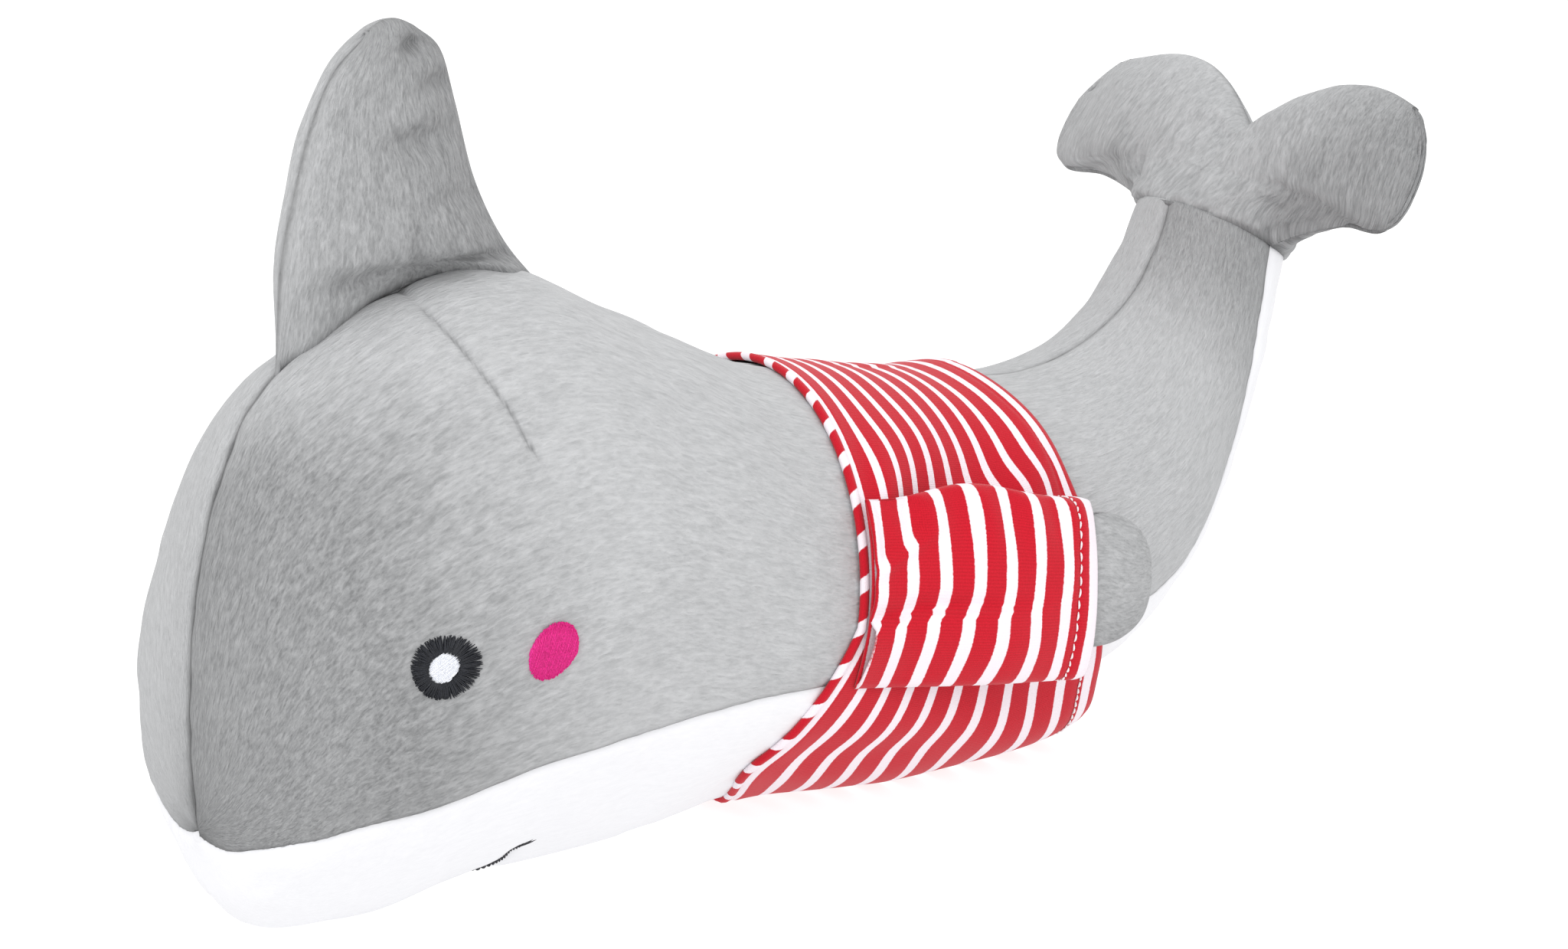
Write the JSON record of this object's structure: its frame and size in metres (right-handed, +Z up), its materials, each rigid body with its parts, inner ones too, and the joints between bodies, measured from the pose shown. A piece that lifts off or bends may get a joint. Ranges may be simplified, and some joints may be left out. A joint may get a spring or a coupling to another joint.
{
  "type": "plush shark",
  "caption": "Stuffed plush shark with grey back, white belly, curled-up tail fluke, tall dorsal fin and embroidered face, wearing a red and white striped shirt with sleeves over its fins.",
  "frame": {"origin": "On the ground under the middle of the shark's bounding box", "axes": "+Z up, nose towards -Y, tail towards +Y, the shark's left side towards +X"},
  "size_m": [0.1712, 0.4485, 0.2602],
  "materials": {
    "grey_plush": "short pile grey plush",
    "white_plush": "smooth short pile white plush",
    "striped_jersey": "red and white striped jersey",
    "white_stitch": "white hem stitching",
    "black_thread": "black satin stitch embroidery",
    "white_thread": "white satin stitch embroidery",
    "pink_thread": "pink satin stitch embroidery",
    "mouth_thread": "dark stitched line",
    "wadding": "polyester fibre stuffing"
  },
  "bodies": {
    "torso": {"side_panel_left": "grey_plush", "side_panel_right": "grey_plush", "belly_panel": "white_plush", "torso_stuffing": "wadding", "eye_ring_left": "black_thread", "eye_ring_right": "black_thread", "eye_centre_left": "white_thread", "eye_centre_right": "white_thread", "cheek_left": "pink_thread", "cheek_right": "pink_thread", "mouth_line": "mouth_thread", "shirt_body": "striped_jersey", "collar_band": "striped_jersey", "shirt_hem_stitch": "white_stitch"},
    "tail": {"tail_side_left": "grey_plush", "tail_side_right": "grey_plush", "tail_belly": "white_plush", "tail_stuffing": "wadding"},
    "fluke": {"fluke_upper_panel": "grey_plush", "fluke_lower_panel": "grey_plush", "fluke_stuffing": "wadding"},
    "dorsal_fin": {"dorsal_panel_left": "grey_plush", "dorsal_panel_right": "grey_plush", "dorsal_stuffing": "wadding"},
    "left_fin": {"fin_outer_left": "grey_plush", "fin_inner_left": "grey_plush", "fin_stuffing_left": "wadding", "sleeve_left": "striped_jersey", "sleeve_stitch_left": "white_stitch"},
    "right_fin": {"fin_outer_right": "grey_plush", "fin_inner_right": "grey_plush", "fin_stuffing_right": "wadding", "sleeve_right": "striped_jersey", "sleeve_stitch_right": "white_stitch"}
  },
  "joints": [
    {"name": "tail_bend", "type": "hinge", "parent": "torso", "child": "tail", "pos_m": [0, 0.0915, 0.0624], "axis": [1, 0, 0], "range_deg": [-15, 15], "stiffness_Nm_per_rad": 2},
    {"name": "fluke_bend", "type": "hinge", "parent": "tail", "child": "fluke", "pos_m": [0, 0.18655, 0.15], "axis": [1, 0, 0], "range_deg": [-25, 25], "stiffness_Nm_per_rad": 0.5},
    {"name": "dorsal_lean", "type": "hinge", "parent": "torso", "child": "dorsal_fin", "pos_m": [0, -0.145, 0.186], "axis": [0, 1, 0], "range_deg": [-20, 20], "stiffness_Nm_per_rad": 0.4},
    {"name": "left_fin_swing", "type": "hinge", "parent": "torso", "child": "left_fin", "pos_m": [0.07047, -0.018, 0.08], "axis": [0.0896, -0.1434, -0.9856], "range_deg": [0, 70], "stiffness_Nm_per_rad": 0.15},
    {"name": "right_fin_swing", "type": "hinge", "parent": "torso", "child": "right_fin", "pos_m": [-0.07047, -0.018, 0.08], "axis": [0.0896, 0.1434, 0.9856], "range_deg": [0, 70], "stiffness_Nm_per_rad": 0.15}
  ]
}
